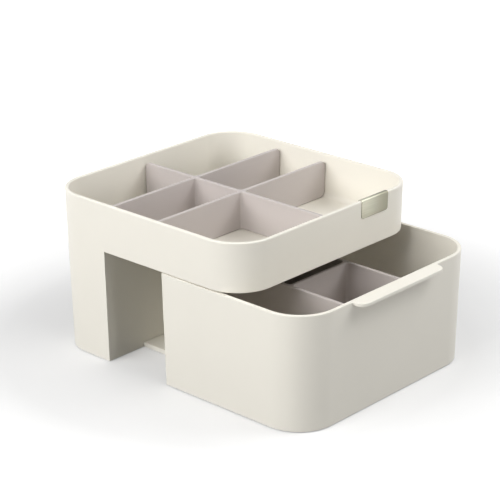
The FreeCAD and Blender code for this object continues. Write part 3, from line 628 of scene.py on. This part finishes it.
class ORGANIZER_OT_drawer(Operator):
    """Models the drawer with its pull tab"""
    bl_idname = "organizer.drawer"
    bl_label = "Drawer"

    def execute(self, context):
        shape = context.scene.organizer_moulding
        sizes = context.scene.organizer_drawer
        top, bottom = DRAWER_HIGH.z, DRAWER_LOW.z
        front, rear = DRAWER_LOW.y + sizes.tab_reach, DRAWER_HIGH.y
        low, high = Vector((DRAWER_LOW.x, front, 0)), Vector((DRAWER_HIGH.x, rear, 0))
        middle_y = (front + rear) / 2

        def at_front(vert):
            return vert.co.y < middle_y

        def at_corner_of_rear(vert):
            return vert.co.y > rear - HAIR
        piece = leaning_block("drawer_tub", low, high, top, bottom,
                              [(at_front, sizes.corner), (at_corner_of_rear, sizes.rear_corner)])
        leave_edit()
        inset = Vector((shape.wall, shape.wall, 0))
        hollow = leaning_block("hollow", low + inset, high - inset, top, sizes.floor,
                               [(at_front, sizes.corner - shape.wall)], above=shape.wall)

        def inner_edge(edge):
            return at_level(edge, sizes.floor) or steep_corner(edge)
        pick("EDGE", inner_edge)
        bevel_picked(sizes.floor_fillet, shape.edge_steps + 2)
        combine(piece, hollow, "DIFFERENCE")

        self.hollow_underside(piece, low, high, bottom, sizes)
        self.add_tab(piece, front, top, sizes)
        self.round_rim(piece, front, top, sizes)
        self.add_ribs(piece, front, rear, sizes)
        smooth(piece)
        stand_for(piece, "drawer_box", "drawer", finish("cream_plastic"))
        return {"FINISHED"}

    def hollow_underside(self, piece, low, high, bottom, sizes):
        """Leaves a skirt round the drawer's underside, with a notch for the tongue."""
        shape = bpy.context.scene.organizer_moulding
        inwards = shape.wall + (DRAWER_HIGH.z - bottom) * math.tan(shape.draft)
        inset = Vector((inwards, inwards, 0))
        recess = flat_plate("recess", low + inset, high - inset, sizes.underside)
        round_corners(lambda vert: vert.co.y < low.y + 2 * inwards,
                      sizes.corner - inwards, shape.corner_steps)
        block_down(sizes.underside)
        combine(piece, recess, "DIFFERENCE")
        half = sizes.guide_offset - sizes.rib / 2
        notch = plain_block("notch", Vector((-half, high.y - 2 * inwards, 0)),
                            Vector((half, high.y + inwards, sizes.underside - sizes.runner_depth)))
        combine(piece, notch, "DIFFERENCE")

    def add_tab(self, piece, front, top, sizes):
        shape = bpy.context.scene.organizer_moulding
        half = sizes.tab_width / 2
        low = Vector((-half, front - sizes.tab_reach))
        tab = flat_plate("tab", low, Vector((half, front + shape.wall / 2)), top)
        round_corners(lambda vert: vert.co.y < front, sizes.tab_corner, shape.edge_steps + 5)
        block_down(sizes.tab_thickness)
        combine(piece, tab, "UNION")
        tidy_flats(piece)
        edit(piece)

        def root(edge):
            spot = middle(edge)
            at_side = abs(abs(spot.x) - half) < HAIR
            return upright(edge) and at_side and abs(spot.y - front) < shape.wall / 4
        pick("EDGE", root)
        bevel_picked(sizes.tab_root, shape.edge_steps + 3)
        leave_edit()

    def round_rim(self, piece, front, top, sizes):
        shape = bpy.context.scene.organizer_moulding
        edit(piece)
        pick("EDGE", rim_edge(top))
        bevel_picked(sizes.rim, shape.edge_steps)

        def tab_lower(edge):
            under = rim_edge(top - sizes.tab_thickness)(edge)
            return under and middle(edge).y < front - HAIR
        pick("EDGE", tab_lower)
        bevel_picked(sizes.tab_edge, shape.edge_steps)
        leave_edit()

    def add_ribs(self, piece, front, rear, sizes):
        """Runners on the tongue, and guides at its sides."""
        shape = bpy.context.scene.organizer_moulding
        inset = shape.wall * 1.5
        half = sizes.rib / 2
        kinds = ((sizes.rib_offset, sizes.runner_depth), (sizes.guide_offset, sizes.guide_depth))
        ribs = []
        for offset, depth in kinds:
            for side in (-1, 1):
                low = Vector((side * offset - half, front + inset, sizes.underside - depth))
                high = Vector((side * offset + half, rear - inset, sizes.underside + HAIR))
                ribs.append(plain_block("rib", low, high))
        choose(piece)
        for rib in ribs:
            rib.select_set(True)
        bpy.ops.object.join()


def divider_plate(name, low, high, axis):
    """An upright plate whose two ends lean in towards the floor, like the walls beside them."""
    shape = bpy.context.scene.organizer_moulding
    piece = plain_block(name, low, high)
    bpy.ops.object.mode_set(mode="EDIT")
    pick("FACE", lambda face: at_level(face, low.z))
    span = high[axis] - low[axis]
    lean = (high.z - low.z) * math.tan(shape.draft)
    scale = [1.0, 1.0, 1.0]
    scale[axis] = (span - 2 * lean) / span
    centre = (Vector(low) + Vector(high)) / 2
    bpy.ops.transform.resize(value=scale, center_override=centre)
    leave_edit()
    return piece


def join_plates(plates):
    """Makes one moulding of the plates."""
    piece = plates[0]
    for other in plates[1:]:
        combine(piece, other, "UNION")
    tidy_flats(piece)
    return piece


def finish_dividers(piece, crossing_test, end_test, steps):
    """Fillets the crossings, rounds the plates' free corners and softens all other edges."""
    sizes = bpy.context.scene.organizer_divider
    edit(piece)
    pick("EDGE", lambda edge: upright(edge) and crossing_test(middle(edge)))
    bevel_picked(sizes.crossing, steps + 1)
    pick("EDGE", lambda edge: not upright(edge) and end_test(edge))
    bevel_picked(sizes.end, steps + 3)
    leave_edit()
    soften(piece, sizes.edge, steps)
    smooth(piece)


class ORGANIZER_OT_tray_grid(Operator):
    """Models the grid that divides the tray"""
    bl_idname = "organizer.tray_grid"
    bl_label = "Tray grid"

    def execute(self, context):
        shape = context.scene.organizer_moulding
        sizes = context.scene.organizer_divider
        plate = sizes.plate
        low, high = GRID_LOW, GRID_HIGH
        front_plate = HOUSING_LOW.y + sizes.front_row
        rear_plate = HOUSING_HIGH.y - context.scene.organizer_housing.leg_depth
        rows = []
        for start in (front_plate, rear_plate):
            rows.append(divider_plate("row", Vector((low.x, start, low.z)),
                                      Vector((high.x, start + plate, high.z)), 0))
        rows.append(divider_plate("row", Vector((-plate / 2, low.y, low.z)),
                                  Vector((plate / 2, high.y, high.z)), 1))
        piece = join_plates(rows)
        piece.name = "tray_grid"

        def crossing(spot):
            return abs(abs(spot.x) - plate / 2) < HAIR and abs(spot.y) < high.y - plate

        def free_end(edge):
            spot = middle(edge)
            across = abs(edge.verts[0].co.x - edge.verts[1].co.x)
            along = abs(edge.verts[0].co.y - edge.verts[1].co.y)
            at_side = abs(spot.x) > high.x - plate and across < HAIR
            at_end = abs(spot.y) > high.y - plate and along < HAIR
            return at_side or at_end
        finish_dividers(piece, crossing, free_end, shape.edge_steps)
        stand_for(piece, "tray_divider", "tray_grid", finish("taupe_plastic"))
        return {"FINISHED"}


class ORGANIZER_OT_drawer_insert(Operator):
    """Models the insert that divides the drawer"""
    bl_idname = "organizer.drawer_insert"
    bl_label = "Drawer insert"

    def execute(self, context):
        shape = context.scene.organizer_moulding
        sizes = context.scene.organizer_divider
        plate = sizes.plate
        low, high = INSERT_LOW, INSERT_HIGH
        inner = sizes.insert_width / 2 - plate
        cross = DRAWER_LOW.y + context.scene.organizer_drawer.tab_reach + sizes.insert_cross
        rows = []
        for side in (-1, 1):
            centre = side * (inner + plate / 2)
            rows.append(divider_plate("row", Vector((centre - plate / 2, low.y, low.z)),
                                      Vector((centre + plate / 2, high.y, high.z)), 1))
        rows.append(plain_block("row", Vector((-inner - plate / 2, cross, low.z)),
                                Vector((inner + plate / 2, cross + plate, high.z))))
        piece = join_plates(rows)
        piece.name = "drawer_insert"

        def crossing(spot):
            near_side = abs(abs(spot.x) - inner) < HAIR
            return near_side and abs(spot.y - cross - plate / 2) < plate

        def free_end(edge):
            spot = middle(edge)
            along = abs(edge.verts[0].co.y - edge.verts[1].co.y)
            at_end = spot.y > high.y - plate or spot.y < low.y + plate
            return at_end and along < HAIR
        finish_dividers(piece, crossing, free_end, shape.edge_steps)
        stand_for(piece, "drawer_divider", "drawer", finish("taupe_plastic"))
        return {"FINISHED"}


class ORGANIZER_OT_rim_tag(Operator):
    """Models the bare metal tag on the front rim"""
    bl_idname = "organizer.rim_tag"
    bl_label = "Rim tag"

    def execute(self, context):
        shape = context.scene.organizer_moulding
        sizes = context.scene.organizer_tag
        top = HOUSING_HIGH.z
        front = HOUSING_LOW.y
        lean = math.tan(shape.draft)
        inner = shape.wall + sizes.gap
        piece = flat_plate("rim_tag", Vector((TAG_LOW.x, front - sizes.gap)),
                           Vector((TAG_HIGH.x, front + inner)), top + sizes.gap)

        def front_edge(edge):
            return middle(edge).y < front

        def rear_edge(edge):
            return middle(edge).y > front + inner - HAIR
        for leaf_edge, drop in ((front_edge, sizes.front_leaf), (rear_edge, sizes.rear_leaf)):
            pick("EDGE", leaf_edge)
            bpy.ops.mesh.extrude_region_move(
                TRANSFORM_OT_translate={"value": (0, drop * lean, -drop)})
        pick("VERT", lambda vert: vert.co.z < top - sizes.rear_leaf / 2)
        bevel_picked(sizes.corner, shape.edge_steps + 2, "VERTICES")

        def fold(edge):
            return at_level(edge, top + sizes.gap) and len(edge.link_faces) == 2
        pick("EDGE", fold)
        bevel_picked(context.scene.organizer_housing.rim, shape.edge_steps + 1)
        bpy.ops.mesh.select_all(action="SELECT")
        bpy.ops.mesh.normals_make_consistent(inside=False)
        leave_edit()
        modify(piece, "SOLIDIFY", thickness=sizes.sheet, offset=1.0, use_even_offset=True)
        soften(piece, sizes.edge, 2)
        smooth(piece)
        stand_for(piece, "metal_tag", "housing", finish("champagne_metal"))
        return {"FINISHED"}


class ORGANIZER_OT_base_finish(Operator):
    """Gives the base plate, its screws and the feet their materials"""
    bl_idname = "organizer.base_finish"
    bl_label = "Base, screws and feet"

    def execute(self, context):
        looks = {"base_plate": "cream_plastic", "base_screws": "screw_steel"}
        looks.update({name: "foot_rubber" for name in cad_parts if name.startswith("foot_")})
        for name, look in looks.items():
            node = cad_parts[name]
            node.data.materials.clear()
            node.data.materials.append(finish(look))
        return {"FINISHED"}


# Stage

def seen_directly(tree):
    """A socket that is 1 for what the camera sees, also in glossy and clear surfaces, else 0."""
    path = tree.nodes.new("ShaderNodeLightPath")
    result = path.outputs["Is Camera Ray"]
    for ray in ("Is Glossy Ray", "Is Transmission Ray"):
        either = tree.nodes.new("ShaderNodeMath")
        either.operation = "MAXIMUM"
        tree.links.new(result, either.inputs[0])
        tree.links.new(path.outputs[ray], either.inputs[1])
        result = either.outputs[0]
    return result


def seen_white(tree, stage):
    """A matte floor that turns white with distance where it shows, and keeps its shadows."""
    surface = tree.nodes["Principled BSDF"]
    shown = seen_directly(tree)
    paint = tree.nodes.new("ShaderNodeMix")
    paint.data_type = "RGBA"
    paint.inputs["A"].default_value = (*stage.floor, 1.0)
    paint.inputs["B"].default_value = (*stage.floor_seen, 1.0)
    tree.links.new(shown, paint.inputs["Factor"])
    tree.links.new(paint.outputs["Result"], surface.inputs["Base Color"])
    surface.inputs["Roughness"].default_value = 1.0
    surface.inputs["Specular IOR Level"].default_value = 0.0
    surface.inputs["Emission Color"].default_value = (1, 1, 1, 1)
    place = tree.nodes.new("ShaderNodeTexCoord")
    reach = tree.nodes.new("ShaderNodeVectorMath")
    reach.operation = "LENGTH"
    fade = tree.nodes.new("ShaderNodeMapRange")
    fade_start = stage.floor_fade / 3
    fade.inputs["From Min"].default_value = fade_start
    fade.inputs["From Max"].default_value = stage.floor_fade
    fade.inputs["To Min"].default_value = stage.floor_lift
    seen = tree.nodes.new("ShaderNodeMath")
    seen.operation = "MULTIPLY"
    tree.links.new(place.outputs["Object"], reach.inputs[0])
    tree.links.new(reach.outputs["Value"], fade.inputs["Value"])
    tree.links.new(shown, seen.inputs[0])
    tree.links.new(fade.outputs["Result"], seen.inputs[1])
    tree.links.new(seen.outputs[0], surface.inputs["Emission Strength"])


def soft_box(name, azimuth, elevation, power):
    """A square lamp that points at the object. Azimuth 0 is the front, 90 the left."""
    turn, rise = math.radians(azimuth), math.radians(elevation)
    away = Vector((-math.sin(turn) * math.cos(rise),
                   -math.cos(turn) * math.cos(rise),
                   math.sin(rise)))
    bpy.ops.object.light_add(type="AREA", location=LAMP_TARGET + away * LAMP_DISTANCE)
    lamp = bpy.context.object
    lamp.name = name
    lamp.data.shape = "SQUARE"
    lamp.data.size = LAMP_SIZE
    lamp.data.energy = power
    lamp.rotation_euler = (-away).to_track_quat("-Z", "Y").to_euler()


class ORGANIZER_OT_stage(Operator):
    """Sets the floor, the lamps, the world and the camera"""
    bl_idname = "organizer.stage"
    bl_label = "Stage"

    def execute(self, context):
        stage = context.scene.organizer_stage
        clear_selection()
        bpy.ops.mesh.primitive_plane_add(size=PLANE_SIZE, location=(0, 0, 0))
        floor = context.object
        floor.name = "floor"
        material, tree, _ = new_material("floor_white")
        seen_white(tree, stage)
        floor.data.materials.append(material)

        soft_box("key_lamp", 92, 25, stage.key)
        soft_box("side_lamp", 120, 30, stage.side)
        soft_box("front_lamp", 0, 12, stage.front)
        soft_box("top_lamp", 0, 70, stage.top)
        soft_box("right_lamp", -48, 44, stage.right)
        soft_box("rear_lamp", 180, 45, stage.rear)
        self.set_world(stage.ambient)
        self.set_camera(stage)
        context.scene.view_settings.view_transform = "Standard"
        return {"FINISHED"}

    def set_world(self, strength):
        """Lights evenly with this strength, and shows white."""
        world = bpy.data.worlds.new("studio")
        bpy.context.scene.world = world
        world.use_nodes = True
        tree = world.node_tree
        light = tree.nodes["Background"]
        light.inputs["Color"].default_value = (1, 1, 1, 1)
        light.inputs["Strength"].default_value = strength
        seen = tree.nodes.new("ShaderNodeBackground")
        mix = tree.nodes.new("ShaderNodeMixShader")
        tree.links.new(seen_directly(tree), mix.inputs["Fac"])
        tree.links.new(light.outputs["Background"], mix.inputs[1])
        tree.links.new(seen.outputs["Background"], mix.inputs[2])
        seen.inputs["Color"].default_value = (1, 1, 1, 1)
        tree.links.new(mix.outputs["Shader"], tree.nodes["World Output"].inputs["Surface"])

    def set_camera(self, stage):
        """Stands the camera on the line through the aim point at its two angles."""
        back = Vector((math.sin(stage.azimuth) * math.cos(stage.elevation),
                       -math.cos(stage.azimuth) * math.cos(stage.elevation),
                       math.sin(stage.elevation)))
        right = (-back).cross(Vector((0, 0, 1))).normalized()
        up = back.cross(right)
        turn = Matrix((right, up, back)).transposed() @ Matrix.Rotation(stage.roll, 3, "Z")
        bpy.ops.object.camera_add()
        camera = bpy.context.object
        camera.name = "photo_camera"
        place = Vector(stage.aim) + back * stage.distance
        camera.matrix_world = Matrix.Translation(place) @ turn.to_4x4()
        camera.data.lens = stage.lens
        camera.data.sensor_width = 36.0
        camera.data.clip_end = 50.0
        bpy.context.scene.camera = camera


class ORGANIZER_PT_sidebar(Panel):
    """Lists the pieces of the organizer"""
    bl_idname = "ORGANIZER_PT_sidebar"
    bl_label = "Organizer"
    bl_space_type = "VIEW_3D"
    bl_region_type = "UI"
    bl_category = "Organizer"

    def draw(self, context):
        for step in STEPS:
            self.layout.operator(step.bl_idname)


STEPS = (
    ORGANIZER_OT_housing,
    ORGANIZER_OT_drawer,
    ORGANIZER_OT_tray_grid,
    ORGANIZER_OT_drawer_insert,
    ORGANIZER_OT_rim_tag,
    ORGANIZER_OT_base_finish,
    ORGANIZER_OT_stage,
)
GROUPS = {
    "organizer_moulding": MouldingSettings,
    "organizer_housing": HousingSettings,
    "organizer_drawer": DrawerSettings,
    "organizer_divider": DividerSettings,
    "organizer_tag": TagSettings,
    "organizer_finish": FinishSettings,
    "organizer_stage": StageSettings,
}


def register():
    for name, group in GROUPS.items():
        bpy.utils.register_class(group)
        setattr(bpy.types.Scene, name, PointerProperty(type=group))
    for item in (*STEPS, ORGANIZER_PT_sidebar):
        bpy.utils.register_class(item)


def unregister():
    for item in reversed((*STEPS, ORGANIZER_PT_sidebar)):
        bpy.utils.unregister_class(item)
    for name, group in GROUPS.items():
        delattr(bpy.types.Scene, name)
        bpy.utils.unregister_class(group)


def main():
    register()
    bpy.ops.organizer.housing()
    bpy.ops.organizer.drawer()
    bpy.ops.organizer.tray_grid()
    bpy.ops.organizer.drawer_insert()
    bpy.ops.organizer.rim_tag()
    bpy.ops.organizer.base_finish()
    bpy.ops.organizer.stage()


if __name__ == "__main__":
    main()
